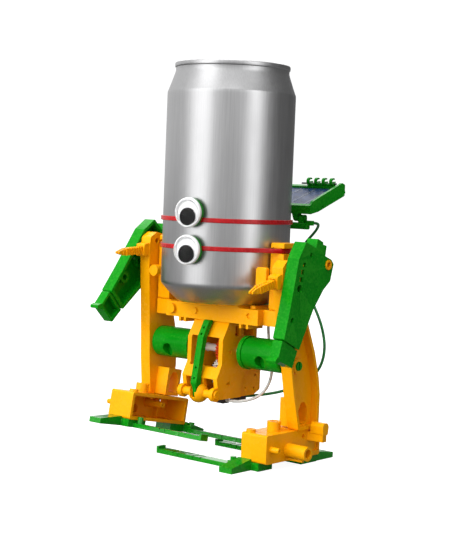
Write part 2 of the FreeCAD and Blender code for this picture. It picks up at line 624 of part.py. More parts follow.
def make_lever():
    rod_at = BOTTOM_ROD
    half_width = 1.9
    strip = [
        (-9.6, 70.4), (-12.8, 70.4), (-17.2, 62.4), (-21.6, 38.4), (-20.4, 36.4), (-17.9, 36.4),
        (-17.7, 42.0), (-14.2, 62.0),
    ]
    tail = [(-21.4, 38.4), (-20.2, 33.3), (-14.4, 33.3), (-17.8, 38.0)]
    eye_half_width = 1.1
    eye_x = (-eye_half_width, eye_half_width)
    eye = rod_x(*rod_at, 3.2, eye_x)
    lever = fuse(side_plate(strip, (-half_width, half_width), 0.9), side_plate(tail, eye_x), eye)
    lever = lever.cut(rod_x(*rod_at, BOTTOM_ROD_RADIUS + RUNNING_CLEARANCE, (-3, 3)))
    for z in (41.0, 46.4, 63.4, 66.6):
        lever = lever.cut(rod_y(0, z, 0.6, (-30, -5)))
    pieces["front_lever"] = lever
    room_x = (-eye_half_width - 0.35, eye_half_width + 0.35)
    slot = block(room_x, (-30, 0), (31.2, 50))
    eye_room = rod_x(*rod_at, 3.5, room_x)
    rod_room = rod_x(*rod_at, BOTTOM_ROD_RADIUS, (-6, 6))
    lever_room = block((-half_width - 0.35, half_width + 0.35), (-30, 0), (34.0, 50))
    socket = Part.makeSphere(5.2, Vector(0, *rod_at))
    socket = socket.cut(slot.fuse([eye_room, rod_room, lever_room]))
    pieces["lever_socket"] = socket.cut(pieces["gearbox_housing"])


def crank_place(side):
    """Where the crank pin of the right (1) or left (-1) leg is at rest."""
    angle = math.radians(CRANK_ANGLE)
    return (side * CRANK_RADIUS * math.cos(angle), DRIVE_Z + side * CRANK_RADIUS * math.sin(angle))


def make_drums():
    for name, side in (("right", 1), ("left", -1)):
        drum = rod_x(0, DRIVE_Z, DRUM_RADIUS, (18.0, 42.5))
        drum = drum.makeFillet(0.8, [edge for edge in drum.Edges if edge.Length > 30])
        flange = rod_x(0, DRIVE_Z, DRUM_RADIUS + 0.5, (17.0, 19.4))
        hub = rod_x(0, DRIVE_Z, 4.2, (14.4, 18.0))
        drum = fuse(drum, flange, hub)
        drum = drum.cut(rod_x(0, DRIVE_Z, 2.0, (10.0, 21.0)))
        hole_z = DRIVE_Z - 3.2
        round_hole = rod_y(31.4, hole_z, 3.2, (-12.0, -3.2))
        corner = [(28.2, hole_z), (34.6, hole_z), (31.4, hole_z - 3.0), (27.4, hole_z + 4.4)]
        taper = Part.Face(rounded_wire(corner, 0.6, "xz")).extrude(Vector(0, 8.8, 0))
        taper.translate(Vector(0, -12.0, 0))
        drum = drum.cut(fuse(round_hole, taper))
        top_slot = block((25.0, 38.0), (-0.7, 0.7), (DRIVE_Z + DRUM_RADIUS - 1.0, DRIVE_Z + 12))
        drum = drum.cut(top_slot)
        y, z = crank_place(side)
        pin_hole = rod_x(y, z, CRANK_PIN_RADIUS, (36.0, 43.0))
        drum = drum.cut(pin_hole)
        pin = rod_x(y, z, CRANK_PIN_RADIUS, (36.0, LEG_X[1] - 0.3))
        pin = pin.cut(block((LEG_X[1] - 1.3, LEG_X[1]), (y - 0.4, y + 0.4), (z - 3, z + 3)))
        if side < 0:
            drum = mirrored(drum)
            pin = mirrored(pin)
        pieces[name + "_drum"] = drum
        pieces[name + "_crank_pin"] = pin


# ---------------------------------------------------------------- legs
def leg_shape():
    """The right leg, upright, with its crank pin hole at Y = 0, Z = 0."""
    points = [
        (0.8, -32.6), (17.9, -32.6), (17.9, -15.9), (16.4, -7.2), (12.1, 6.3), (5.2, 21.4), (-5.3, 47.6),
        (-8.0, 53.0), (-13.8, 53.2), (-17.6, 49.6), (-17.3, 42.6), (-7.0, -1.3), (-4.2, -13.9),
    ]
    web = (LEG_X[0], LEG_X[0] + LEG_WEB)
    leg = side_channel(points, LEG_X, web, 1.7, 1.6)
    boss = rod_x(0, 0, 3.8, (web[0], LEG_X[1] - 1.0))
    upper_boss = rod_x(-12.4, 48.6, 2.9, (web[0], LEG_X[1]))
    socket_outer = block((35.0, LEG_X[0]), (3.9, 14.3), (-32.2, -17.6))
    cross_rib = side_plate([(-9.6, 16.6), (6.4, 16.6), (6.4, 18.2), (-9.6, 18.2)], (web[0], LEG_X[1] - 1.2))
    leg = fuse(leg, boss, upper_boss, socket_outer, cross_rib)
    socket = side_plate(
        [(5.5, -30.6), (12.7, -30.6), (12.7, -22.9), (10.6, -19.4), (7.6, -19.4), (5.5, -22.9)],
        (34.0, web[1] + 1.0), 1.6,
    )
    pin_hole = rod_x(0, 0, CRANK_PIN_RADIUS + RUNNING_CLEARANCE, (web[0] - 1, LEG_X[1] + 1))
    hole = rod_x(-12.4, 48.6, 1.4, (web[0] - 1, LEG_X[1] + 1))
    square = block((web[0] - 1, web[1] + 1), (-14.8, -12.6), (33.0, 35.2))
    leg = leg.cut(socket.fuse([pin_hole, hole, square]))
    holder = side_plate([(-17.2, 39.6), (-20.4, 38.8), (-21.2, 45.2), (-17.4, 46.6)], (43.4, 49.2), 0.6)
    holder_slot = side_plate([(-24.0, 43.4), (-17.9, 44.6), (-17.2, 41.0), (-23.6, 39.4)], (44.6, 48.0))
    holder = holder.cut(holder_slot)
    return fuse(leg, holder)


def peg_shape():
    """The ribbed, split, pointed peg in the right leg's front holder, in the leg's own place."""
    length = 16.6
    bar = block((44.7, 47.9), (-length, 0.5), (-1.5, 1.5))
    tip_points = [(-length, 1.5), (-length - 3.2, 0.5), (-length - 3.2, -0.5), (-length, -1.5)]
    tip = side_plate(tip_points, (44.9, 47.7))
    peg = fuse(bar, tip)
    for i in range(7):
        y = -3.4 - 1.8 * i
        ridge = block((44.2, 48.4), (y - 0.5, y + 0.5), (-1.9, 1.9))
        peg = fuse(peg, ridge)
    slit = block((45.9, 46.7), (-length - 4, -6.0), (-3, 3))
    peg = peg.cut(slit)
    peg = turned(peg, 0, 0, 14.0)
    return moved(peg, 0, -18.4, 42.6)


def make_legs():
    leg = leg_shape()
    peg = peg_shape()
    for name, side, turn in (("right", 1, 0.0), ("left", -1, LEFT_LEG_TURN)):
        for part_name, shape in (("leg", leg), ("peg", peg)):
            placed = turned(shape, 0, 0, turn)
            y, z = crank_place(side)
            placed = moved(placed, 0, y, z)
            pieces[f"{name}_{part_name}"] = mirrored(placed) if side < 0 else placed


# ---------------------------------------------------------------- feet
def foot_shape():
    """The right foot's shell: a box open on the robot's inner side, with tubes and bosses on it."""
    low_x, high_x = FOOT_X
    box = rounded_block(FOOT_X, FOOT_Y, FOOT_Z, 1.2, "X")
    wall = FOOT_WALL
    hollow = block(
        (low_x - 1, high_x - wall), (FOOT_Y[0] + wall, FOOT_Y[1] - wall), (FOOT_Z[0] + wall, FOOT_Z[1] - wall)
    )
    box = box.cut(hollow)
    stiffener = block((high_x - 4.4, high_x), (11.4, 12.8), FOOT_Z)
    inner_boss = cone_x(5.0, 13.2, (1.5, 2.5), (34.4, high_x))
    side_tube = rod_x(-3.4, 9.2, 3.6, (high_x - 0.5, 61.0))
    tube_rib = block((high_x - 0.5, 58.0), (-4.2, -2.6), (4.6, 8.0))
    pilot_boss = cone_x(-17.0, 11.2, (1.7, 1.3), (high_x - 0.5, 53.6))
    tab = side_plate([(12.0, 16.2), (16.0, 16.2), (16.6, 20.4), (15.4, 22.2), (12.6, 22.2), (11.4, 20.4)],
                     (LEG_X[1] + 1.2, 58.5), 0.8)
    tab_root = block((high_x - 0.5, 58.0), (12.4, 15.6), (12.6, 17.0))
    top_boss = rod_z(35.8, -17.6, 2.4, (FOOT_Z[1] - 0.5, FOOT_Z[1] + 1.5))
    top_tube = rod_z(41.0, -6.0, 3.5, (FOOT_Z[1] - 0.5, FOOT_Z[1] + 5.0))
    foot = fuse(box, stiffener, inner_boss, side_tube, tube_rib, pilot_boss, tab_root, tab)
    foot = fuse(foot, top_boss, top_tube)
    holes = [
        rod_x(-3.4, 9.2, SIDE_TUBE_BORE, (46.0, 62.0)),
        rod_x(-17.0, 11.2, 0.6, (50.5, 55.0)),
        rod_x(5.0, 13.2, 0.8, (33.0, 44.0)),
        rod_z(41.0, -6.0, 2.0, (FOOT_Z[1] + 0.6, FOOT_Z[1] + 6.0)),
        rod_z(35.8, -17.6, 1.0, (FOOT_Z[1] + 0.4, FOOT_Z[1] + 2.0)),
        block((37.0, 45.0), (-6.5, -5.5), (FOOT_Z[1] + 0.9, FOOT_Z[1] + 6.0)),
        block((high_x - 1.0, high_x + 1), (17.2, 21.6), (6.4, 13.4)),
    ]
    for y in (9.0, 17.0):
        holes.append(rod_x(y, 14.8, 1.1, (high_x - wall - 0.4, high_x + 2)))
    return foot.cut(holes[0].fuse(holes[1:]))


def toe_bar(x_range, y_range, notch_xs):
    """A flat bar with an upturned end and cross notches."""
    bar = block(x_range, y_range, (0.0, TOE_THICKNESS))
    for x in notch_xs:
        bar = bar.cut(block((x, x + 0.8), (y_range[0] - 1, y_range[1] + 1), (TOE_THICKNESS - 0.6, 5)))
    lip = block((x_range[0], x_range[0] + 1.4), y_range, (0.0, TOE_THICKNESS + 1.2))
    return fuse(bar, lip)


def wedge(x_range, tip_y, back_y, heights):
    """A ramp that rises from its tip to its back."""
    return side_plate([(tip_y, 0), (tip_y, heights[0]), (back_y, heights[1]), (back_y, 0)], x_range)


def toe_shapes():
    """The right foot's front and rear toe pieces, flat on the floor."""
    under = FOOT_Z[0]
    front = fuse(
        toe_bar((-20.0, 30.0), (-25.5, -20.0), (-9.0, 9.5)),
        wedge((31.4, 39.4), -36.0, -21.0, (2.8, 5.6)),
        block((28.0, 33.2), (-25.5, -21.0), (0.0, under)),
        block((33.2, 44.0), (-21.0, -10.0), (0.0, under)),
        rod_z(29.6, -23.0, 1.5, (1.0, under + 1.8)),
    )
    rear = fuse(
        toe_bar((-14.0, 33.2), (14.0, 19.5), (-3.5, 14.0)),
        wedge((38.4, 46.4), 38.6, 23.2, (2.8, 5.0)),
        block((33.2, 47.0), (10.0, 23.2), (0.0, under)),
        block((38.4, 46.4), (23.2, 25.0), (0.0, under)),
        rod_z(30.6, 17.0, 1.5, (1.0, under + 1.8)),
    )
    return front, rear


def make_feet():
    """The left foot mirrors the right one, but the left toes are the right toes turned half round."""
    front, rear = toe_shapes()
    right_place = crank_place(1)
    left_place = crank_place(-1)
    foot = foot_shape()
    pieces["right_foot"] = foot
    pieces["right_front_toe"] = front
    pieces["right_rear_toe"] = rear
    left_pieces = [("left_foot", mirrored(foot))]
    for name, shape in (("left_rear_toe", front), ("left_front_toe", rear)):
        half_turn = shape.copy()
        half_turn.rotate(Vector(0, TOE_PIVOT_Y, 0), Vector(0, 0, 1), 180)
        left_pieces.append((name, half_turn))
    for name, shape in left_pieces:
        on_pin = turned(moved(shape, 0, -right_place[0], -right_place[1]), 0, 0, LEFT_LEG_TURN)
        pieces[name] = moved(on_pin, 0, *left_place)


# ---------------------------------------------------------------- arms
def hand_tongue():
    """The flat tongue of the right hand, which passes through a slot in the arm's end wall."""
    points = [(-31.4, -38.0), (-23.2, -41.4), (-21.0, -36.0), (-29.4, -32.0)]
    return side_plate(points, (ARM_X[1] - ARM_WALL - 1.5, ARM_X[1] - ARM_WALL), 0.4)


def arm_shape():
    """The right arm, with its shoulder hole at Y = 0, Z = 0."""
    points = [
        (-19.0, 11.6), (-9.7, 8.1), (-3.6, 4.8), (2.5, 2.6), (4.6, 0.4), (2.3, -8.1), (-3.2, -12.4),
        (-11.0, -22.0), (-21.3, -41.3), (-33.6, -35.4), (-29.8, -21.1), (-24.2, 3.4),
    ]
    low_x, high_x = ARM_X
    arm = side_channel(points, ARM_X, (high_x - ARM_WALL, high_x), ARM_WALL, 0.7)
    shoulder_boss = rod_x(0, 0, 3.9, (low_x, high_x)).common(side_plate(points, ARM_X, 0.7))
    knob_x = (low_x + 0.6, high_x)
    knob_block = side_plate([(-11.0, 7.4), (-9.6, 13.2), (-5.0, 11.4), (-4.2, 4.0)], knob_x, 0.5)
    knob = side_plate([(-5.4, 5.6), (-4.6, 10.2), (-1.4, 9.6), (-2.2, 4.2)], (low_x + 3.0, high_x - 0.4), 0.5)
    rings = []
    for y, z in ((-17.6, -12.6), (-24.6, -24.4)):
        rings.append(rod_x(y, z, 3.2, (low_x + 2.6, high_x)))
    top_boss = rod_x(-12.0, 2.2, 3.0, (low_x + 2.0, high_x))
    arm = fuse(arm, shoulder_boss, knob_block, knob, top_boss, *rings)
    holes = [
        rod_x(0, 0, SHOULDER_PIN_RADIUS + RUNNING_CLEARANCE, (low_x - 1, high_x + 1)),
        rod_x(-14.4, 5.0, 1.1, (high_x - 3, high_x + 1)),
        rod_x(-22.8, -11.2, 1.9, (high_x - 3, high_x + 1)),
        rod_x(-27.8, -26.4, 1.2, (high_x - 3, high_x + 1)),
    ]
    for y, z in ((-19.6, 0.4), (-20.8, -3.2), (-21.8, -6.8)):
        holes.append(block((high_x - 3, high_x + 1), (y - 1.2, y + 1.2), (z - 1.1, z + 1.1)))
    for y, z in ((-17.6, -12.6), (-24.6, -24.4)):
        holes.append(rod_x(y, z, 1.5, (low_x, high_x - ARM_WALL)))
    return arm.cut(holes[0].fuse(holes[1:] + [hand_tongue()]))


def hand_shape():
    """The cup that plugs into the right arm's lower end, in the arm's own place."""
    low_x, high_x = ARM_X
    points = [(-33.9, -35.9), (-21.6, -41.8), (-25.3, -50.0), (-36.8, -45.3)]
    hand = side_channel(points, (low_x + 0.7, high_x - 0.7), (high_x - 2.3, high_x - 0.7), 1.4, 0.5)
    hand_x = (low_x + 0.7, high_x - 0.7)
    lip_points = [(-35.6, -43.4), (-37.2, -44.0), (-38.9, -45.6), (-38.2, -47.0), (-35.0, -46.2)]
    lip = side_plate(lip_points, hand_x, 0.3)
    return fuse(hand, lip, hand_tongue())


def make_arms():
    arm = arm_shape()
    hand = hand_shape()
    for name, side, turn in (("right", 1, 0.0), ("left", -1, LEFT_ARM_TURN)):
        for part_name, shape in (("arm", arm), ("hand", hand)):
            placed = moved(turned(shape, 0, 0, turn), 0, SHOULDER_Y, SHOULDER_Z)
            pieces[f"{name}_{part_name}"] = mirrored(placed) if side < 0 else placed


# ---------------------------------------------------------------- wiring
def wire(name, route):
    """A wire's solid: straight runs joined by tangent arcs, each arc as large as its runs allow."""
    points = [Vector(*point) for point in route]
    edges = []
    radii = []
    last = points[0]
    length = 0.0
    for before, here, after in zip(points, points[1:], points[2:]):
        back = before - here
        ahead = after - here
        reach = 0.45 * min(back.Length, ahead.Length)
        half_turn = (math.pi - back.getAngle(ahead)) / 2
        radius = reach / math.tan(half_turn)
        radii.append(radius)
        start = here + back.normalize() * reach
        end = here + ahead.normalize() * reach
        inward = (back + ahead).normalize()
        middle = here + inward * (radius / math.cos(half_turn) - radius)
        edges.append(Part.LineSegment(last, start).toShape())
        edges.append(Part.Arc(start, middle, end).toShape())
        last = end
    edges.append(Part.LineSegment(last, points[-1]).toShape())
    path = Part.Wire(edges)
    direction = points[1] - points[0]
    circle = Part.Circle(points[0], direction, WIRE_DIAMETER / 2)
    tube = path.makePipeShell([Part.Wire(circle.toShape())], True, True)
    expected = math.pi * WIRE_DIAMETER ** 2 / 4 * path.Length
    print(name, "length", round(path.Length, 1), "volume ratio", round(tube.Volume / expected, 4))
    print("  radii", [round(radius, 1) for radius in radii])
    pieces[name] = tube


def make_wiring():
    wire("green_wire", GREEN_WIRE_ROUTE)
    wire("white_wire", WHITE_WIRE_ROUTE)
    rear_clip = block((2.4, 8.8), (5.0, 11.0), CLIP_Z)
    front_clip = block((3.4, 8.6), (-7.4, -2.6), CLIP_Z)
    pieces["wire_clips"] = Part.makeCompound([rear_clip, front_clip])


# ---------------------------------------------------------------- run
make_can()
make_bands()
make_eyes()
make_chassis()
make_panel()
make_gearbox()
make_drums()
make_legs()
make_feet()
make_arms()
make_wiring()

whole = FreeCAD.BoundBox()
for name, shape in pieces.items():
    if name not in ("green_wire", "white_wire"):
        whole.add(shape.BoundBox)
to_origin = Vector(-whole.Center.x, -whole.Center.y, -whole.ZMin)
print("moved to the origin by", to_origin)

os.makedirs("parts", exist_ok=True)
for name, shape in pieces.items():
    shape.translate(to_origin)
    shape.exportStep(f"parts/{name}.step")
print(len(pieces), "pieces")
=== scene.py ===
import json
import math

import bmesh
import bpy
from mathutils import Matrix, Vector


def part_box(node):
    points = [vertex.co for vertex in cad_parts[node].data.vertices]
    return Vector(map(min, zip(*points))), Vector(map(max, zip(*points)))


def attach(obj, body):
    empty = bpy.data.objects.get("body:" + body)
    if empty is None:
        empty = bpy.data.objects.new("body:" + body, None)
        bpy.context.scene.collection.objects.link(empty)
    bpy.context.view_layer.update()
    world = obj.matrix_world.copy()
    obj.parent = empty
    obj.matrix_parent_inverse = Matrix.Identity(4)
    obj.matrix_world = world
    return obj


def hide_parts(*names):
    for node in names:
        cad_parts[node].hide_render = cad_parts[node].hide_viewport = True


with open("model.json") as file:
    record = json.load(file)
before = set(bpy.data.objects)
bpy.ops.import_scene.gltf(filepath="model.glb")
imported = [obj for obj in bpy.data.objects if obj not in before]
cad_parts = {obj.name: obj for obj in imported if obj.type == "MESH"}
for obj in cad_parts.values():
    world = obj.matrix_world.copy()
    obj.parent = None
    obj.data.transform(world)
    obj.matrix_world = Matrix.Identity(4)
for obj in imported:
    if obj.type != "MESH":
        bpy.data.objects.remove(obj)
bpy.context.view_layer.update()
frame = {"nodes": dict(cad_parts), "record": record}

MM = 0.001
scene = bpy.context.scene
scene.view_settings.view_transform = "Standard"


# ---------------------------------------------------------------- places taken from the frame
def points_of(node):
    return [v.co.copy() for v in frame["nodes"][node].data.vertices]


def body_of_node(node):
    for body, nodes in frame["record"]["behaviour"]["bodies"].items():
        if node in nodes:
            return body
    raise KeyError(node)


def slot_of_node(node):
    for row in frame["record"]["subparts"]:
        if row["node"] == node:
            return row["material_slot"]
    raise KeyError(node)


can_low, can_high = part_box("can_body")
CAN_AXIS = Vector(((can_low.x + can_high.x) / 2, (can_low.y + can_high.y) / 2, 0))
CAN_RADIUS = (can_high.x - can_low.x) / 2
CAN_BASE = can_low.z
CAN_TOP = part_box("can_lid")[1].z


# ---------------------------------------------------------------- camera
def make_camera():
    """A camera at the robot's front right, level with the drums and tipped down a little."""
    azimuth = math.radians(40.0)
    distance = 690 * MM
    height = 137.5 * MM
    pitch = math.radians(-3.35)
    roll = math.radians(2.27)
    focal_in_frame_heights = 1331 / 535
    forward = Vector((-math.sin(azimuth), math.cos(azimuth), 0))
    right = Vector((math.cos(azimuth), math.sin(azimuth), 0))
    up = Vector((0, 0, 1))
    place = CAN_AXIS - forward * distance + up * height
    tipped = forward * math.cos(pitch) + up * math.sin(pitch)
    tipped_up = up * math.cos(pitch) - forward * math.sin(pitch)
    rolled_right = right * math.cos(roll) + tipped_up * math.sin(roll)
    rolled_up = tipped_up * math.cos(roll) - right * math.sin(roll)
    data = bpy.data.cameras.new("camera")
    data.sensor_width = 36
    data.lens = data.sensor_width * focal_in_frame_heights
    data.clip_start = 0.01
    camera = bpy.data.objects.new("camera", data)
    turn = Matrix((rolled_right, rolled_up, -tipped)).transposed().to_4x4()
    camera.matrix_world = Matrix.Translation(place) @ turn
    scene.collection.objects.link(camera)
    scene.camera = camera


make_camera()


# ---------------------------------------------------------------- material helpers
class Nodes:
    """A material's node tree, with short ways to add what the materials below share."""

    def __init__(self, name):
        self.material = bpy.data.materials.new(name)
        self.material.use_nodes = True
        self.tree = self.material.node_tree
        self.shader = self.tree.nodes["Principled BSDF"]
        self.coords = self.add("ShaderNodeTexCoord").outputs["Object"]

    def add(self, kind, **values):
        node = self.tree.nodes.new(kind)
        for key, value in values.items():
            setattr(node, key, value)
        return node

    def link(self, source, target):
        self.tree.links.new(source, target)

    def set(self, **values):
        """Sets the shader's own sockets, each named with underscores for spaces."""
        for key, value in values.items():
            self.shader.inputs[key.replace("_", " ")].default_value = value

    def stretched(self, scale):
        mapping = self.add("ShaderNodeMapping")
        mapping.inputs["Scale"].default_value = scale
        self.link(self.coords, mapping.inputs["Vector"])
        return mapping.outputs["Vector"]

    def noise(self, scale, detail=3.0, vector=None, roughness=0.5):
        noise = self.add("ShaderNodeTexNoise")
        noise.inputs["Scale"].default_value = scale
        noise.inputs["Detail"].default_value = detail
        noise.inputs["Roughness"].default_value = roughness
        self.link(vector or self.coords, noise.inputs["Vector"])
        return noise.outputs["Fac"]

    def ramp(self, source, low, high, low_at=0.3, high_at=0.7):
        """Colours or grey levels spread over a range of a texture's values."""
        ramp = self.add("ShaderNodeValToRGB")
        ends = ramp.color_ramp.elements
        for end, colour, place in ((ends[0], low, low_at), (ends[1], high, high_at)):
            end.color = colour if hasattr(colour, "__len__") else (colour, colour, colour, 1)
            end.position = place
        self.link(source, ramp.inputs["Fac"])
        return ramp.outputs["Color"]

    def mix(self, factor, first, second, blend="MIX"):
        mix = self.add("ShaderNodeMix", data_type="RGBA", blend_type=blend)
        for value, socket in ((factor, mix.inputs[0]), (first, mix.inputs[6]), (second, mix.inputs[7])):
            if isinstance(value, bpy.types.NodeSocket):
                self.link(value, socket)
            else:
                socket.default_value = value
        return mix.outputs[2]

    def bump(self, height, strength, distance, normal=None):
        bump = self.add("ShaderNodeBump")
        bump.inputs["Strength"].default_value = strength
        bump.inputs["Distance"].default_value = distance
        self.link(height, bump.inputs["Height"])
        if normal:
            self.link(normal, bump.inputs["Normal"])
        return bump.outputs["Normal"]

    def colour(self, socket):
        self.link(socket, self.shader.inputs["Base Color"])

    def roughness(self, socket):
        self.link(socket, self.shader.inputs["Roughness"])

    def normal(self, socket):
        self.link(socket, self.shader.inputs["Normal"])


def moulded_plastic(name, deep, bright, wear_and_highlight_colour, gloss=(0.2, 0.34), specular=0.14):
    """Injection-moulded plastic: faint flow marks, a fine orange peel, and paler edges that are partly rub
    wear and partly a painted highlight.
    """
    m = Nodes(name)
    flow = m.noise(45, 4, m.stretched((1, 1, 0.5)))
    base = m.ramp(flow, deep, bright, 0.3, 0.72)
    # Convex edges are blended a little towards the paler colour: partly rub wear, partly a painted
    # highlight on the edges.
    edges = m.add("ShaderNodeNewGeometry").outputs["Pointiness"]
    speckle = m.noise(900, 4)
    edge_wear_and_highlight = m.mix(0.35, edges, speckle)
    edge_wear_and_highlight_mask = m.ramp(edge_wear_and_highlight, 0.0, 1.0, 0.505, 0.6)
    soft_wear_and_highlight_mask = m.mix(0.75, edge_wear_and_highlight_mask, (0, 0, 0, 1))
    m.colour(m.mix(soft_wear_and_highlight_mask, base, wear_and_highlight_colour))
    smudges = m.noise(120, 5, roughness=0.65)
    m.roughness(m.ramp(smudges, gloss[0], gloss[1], 0.35, 0.7))
    peel = m.bump(m.noise(2400, 2), 0.03, 0.00006)
    m.normal(m.bump(m.noise(160, 2), 0.04, 0.0003, peel))
    m.set(Specular_IOR_Level=specular)
    return m.material


def brushed_can():
    """Drawn aluminium: fine streaks along the can, cloudy gloss and a few hair scratches."""
    m = Nodes("can_metal_brushed")
    streaks = m.noise(1800, 3, m.stretched((1, 1, 0.02)), 0.6)
    broad = m.noise(160, 3, m.stretched((1, 1, 0.05)))
    tone = m.ramp(streaks, (0.43, 0.43, 0.435, 1), (0.51, 0.51, 0.515, 1), 0.3, 0.7)
    m.colour(m.mix(m.ramp(broad, 0.0, 0.35), tone, (0.54, 0.54, 0.545, 1)))
    cloud = m.ramp(m.noise(60, 5, roughness=0.6), 0.30, 0.38)
    fine = m.ramp(streaks, 0.26, 0.42, 0.3, 0.7)
    m.roughness(m.mix(0.5, cloud, fine))
    lines = m.bump(streaks, 0.05, 0.00006)
    scratch_field = m.add("ShaderNodeTexWave", wave_type="BANDS", bands_direction="DIAGONAL")
    scratch_field.inputs["Scale"].default_value = 55
    scratch_field.inputs["Distortion"].default_value = 22
    scratch_field.inputs["Detail"].default_value = 4
    m.link(m.coords, scratch_field.inputs["Vector"])
    scratches = m.ramp(scratch_field.outputs["Fac"], 0.0, 1.0, 0.0, 0.012)
    m.normal(m.bump(scratches, 0.05, 0.00003, lines))
    m.set(Metallic=1.0, Anisotropic=0.35)
    return m.material


def rolled_metal(name, colour, roughness):
    """Small metal pieces: plated, lightly brushed and smudged."""
    m = Nodes(name)
    grain = m.noise(1500, 3, m.stretched((1, 0.08, 1)))
    dark = tuple(c * 0.85 for c in colour[:3]) + (1,)
    m.colour(m.ramp(grain, dark, colour))
    m.roughness(m.ramp(m.noise(300, 4), roughness, roughness + 0.14))
    m.normal(m.bump(grain, 0.08, 0.00005))
    m.set(Metallic=1.0)
    return m.material


def rubber(name, deep, bright, roughness=(0.42, 0.6), specular=0.3):
    """Soft rubber or wire sleeve, with dust and fine mould lines."""
    m = Nodes(name)
    m.colour(m.ramp(m.noise(350, 4), deep, bright))
    m.roughness(m.ramp(m.noise(500, 3), *roughness))
    m.normal(m.bump(m.noise(1800, 3), 0.12, 0.00008))
    m.set(Specular_IOR_Level=specular)
    return m.material


def glossy(name, deep, bright, roughness, coat=0.5, specular=0.5):
    """Polished plastic with a clear skin and light dust."""
    m = Nodes(name)
    m.colour(m.ramp(m.noise(150, 4), deep, bright))
    m.roughness(m.ramp(m.noise(250, 5), roughness, roughness + 0.1))
    m.normal(m.bump(m.noise(700, 2), 0.03, 0.00005))
    m.set(Coat_Weight=coat, Coat_Roughness=0.05, Specular_IOR_Level=specular)
    return m.material


def clear_plastic():
    """The eyes' clear domes, with a little smudging and hardly any refraction."""
    m = Nodes("eye_clear_dome")
    m.roughness(m.ramp(m.noise(220, 5), 0.01, 0.05))
    m.normal(m.bump(m.noise(300, 2), 0.02, 0.00005))
    m.colour(m.ramp(m.noise(80, 2), (0.97, 0.97, 0.97, 1), (1, 1, 1, 1)))
    m.set(Transmission_Weight=1.0, IOR=1.1)
    return m.material


def solar_cells():
    """Dark blue crystal under a clear sheet, with fine slanting fingers and tonal flakes."""
    m = Nodes("solar_cell_blue")
    flakes = m.add("ShaderNodeTexVoronoi", feature="F1")
    flakes.inputs["Scale"].default_value = 420
    m.link(m.coords, flakes.inputs["Vector"])
    crystal = m.ramp(flakes.outputs["Color"], (0.004, 0.012, 0.05, 1), (0.012, 0.036, 0.13, 1), 0.1, 0.9)
    fingers = m.add("ShaderNodeTexWave", wave_type="BANDS", bands_direction="DIAGONAL")
    fingers.inputs["Scale"].default_value = 420
    fingers.inputs["Distortion"].default_value = 0
    m.link(m.coords, fingers.inputs["Vector"])
    lines = m.ramp(fingers.outputs["Fac"], 0.0, 0.6, 0.8, 0.97)
    m.colour(m.mix(lines, crystal, (0.09, 0.15, 0.26, 1)))
    m.roughness(m.ramp(m.noise(140, 4), 0.3, 0.42))
    m.normal(m.bump(m.noise(500, 2), 0.03, 0.00005))
    m.set(Specular_IOR_Level=0.12)
    return m.material


# The third green, and each moulded plastic's fourth colour, is its paler edge colour: partly rub wear,
# partly a painted highlight.
GREEN_TONES = ((0.0016, 0.215, 0.005, 1), (0.003, 0.285, 0.006, 1), (0.06, 0.50, 0.03, 1))
WIRE_GLOSS = (0.2, 0.34)
MATERIALS = {
    "yellow_plastic": moulded_plastic(
        "yellow_moulded", (0.93, 0.365, 0.0008, 1), (0.97, 0.42, 0.0012, 1), (1.0, 0.53, 0.012, 1)
    ),
    "green_plastic": moulded_plastic("green_moulded", *GREEN_TONES, gloss=(0.16, 0.28), specular=0.09),
    "glossy_green": moulded_plastic(
        "green_moulded_polished", *GREEN_TONES, gloss=(0.07, 0.15), specular=0.5
    ),
    "can_metal": brushed_can(),
    "red_rubber": rubber(
        "band_red", (0.38, 0.005, 0.008, 1), (0.50, 0.010, 0.014, 1), roughness=(0.2, 0.3), specular=0.3
    ),
    "eye_white": glossy("eye_white_shell", (0.86, 0.86, 0.86, 1), (0.92, 0.92, 0.93, 1), 0.22),
    "eye_black": glossy(
        "eye_black_disc", (0.002, 0.002, 0.002, 1), (0.006, 0.006, 0.006, 1), 0.4, coat=0.0, specular=0.12
    ),
    "eye_clear": clear_plastic(),
    "solar_cell": solar_cells(),
    "collector": rolled_metal("cell_collector", (0.20, 0.22, 0.26, 1), 0.4),
    "dark_steel": rolled_metal("dark_rod", (0.10, 0.10, 0.11, 1), 0.3),
    "screw_steel": rolled_metal("plated_steel", (0.62, 0.62, 0.64, 1), 0.24),
    "motor_case": glossy("motor_black", (0.006, 0.006, 0.007, 1), (0.018, 0.018, 0.02, 1), 0.35, 0.1),
    "white_plastic": moulded_plastic(
        "natural_moulded", (0.72, 0.70, 0.64, 1), (0.80, 0.78, 0.72, 1), (0.86, 0.85, 0.8, 1)
    ),
    "red_plastic": moulded_plastic(
        "red_moulded", (0.62, 0.045, 0.006, 1), (0.76, 0.07, 0.01, 1), (0.9, 0.2, 0.06, 1)
    ),
    "green_wire": rubber("sleeve_green", (0.010, 0.17, 0.035, 1), (0.02, 0.25, 0.05, 1), WIRE_GLOSS),
    "white_wire": rubber("sleeve_white", (0.62, 0.62, 0.60, 1), (0.76, 0.76, 0.74, 1), WIRE_GLOSS),
    "black_plastic": glossy("clip_black", (0.01, 0.01, 0.01, 1), (0.025, 0.025, 0.025, 1), 0.4, 0.0),
}


# ---------------------------------------------------------------- piece helpers
def finish_piece(piece, node, material=None):
    """Gives a new piece the material of its CAD node's slot, unless another material is given, and the body
    of the CAD node that it stands for.
    """
    slot = slot_of_node(node)
    piece.data.materials.clear()
    piece.data.materials.append(material or MATERIALS[slot])
    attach(piece, body_of_node(node))


def new_object(name, data):
    piece = bpy.data.objects.new(name, data)
    scene.collection.objects.link(piece)
    return piece


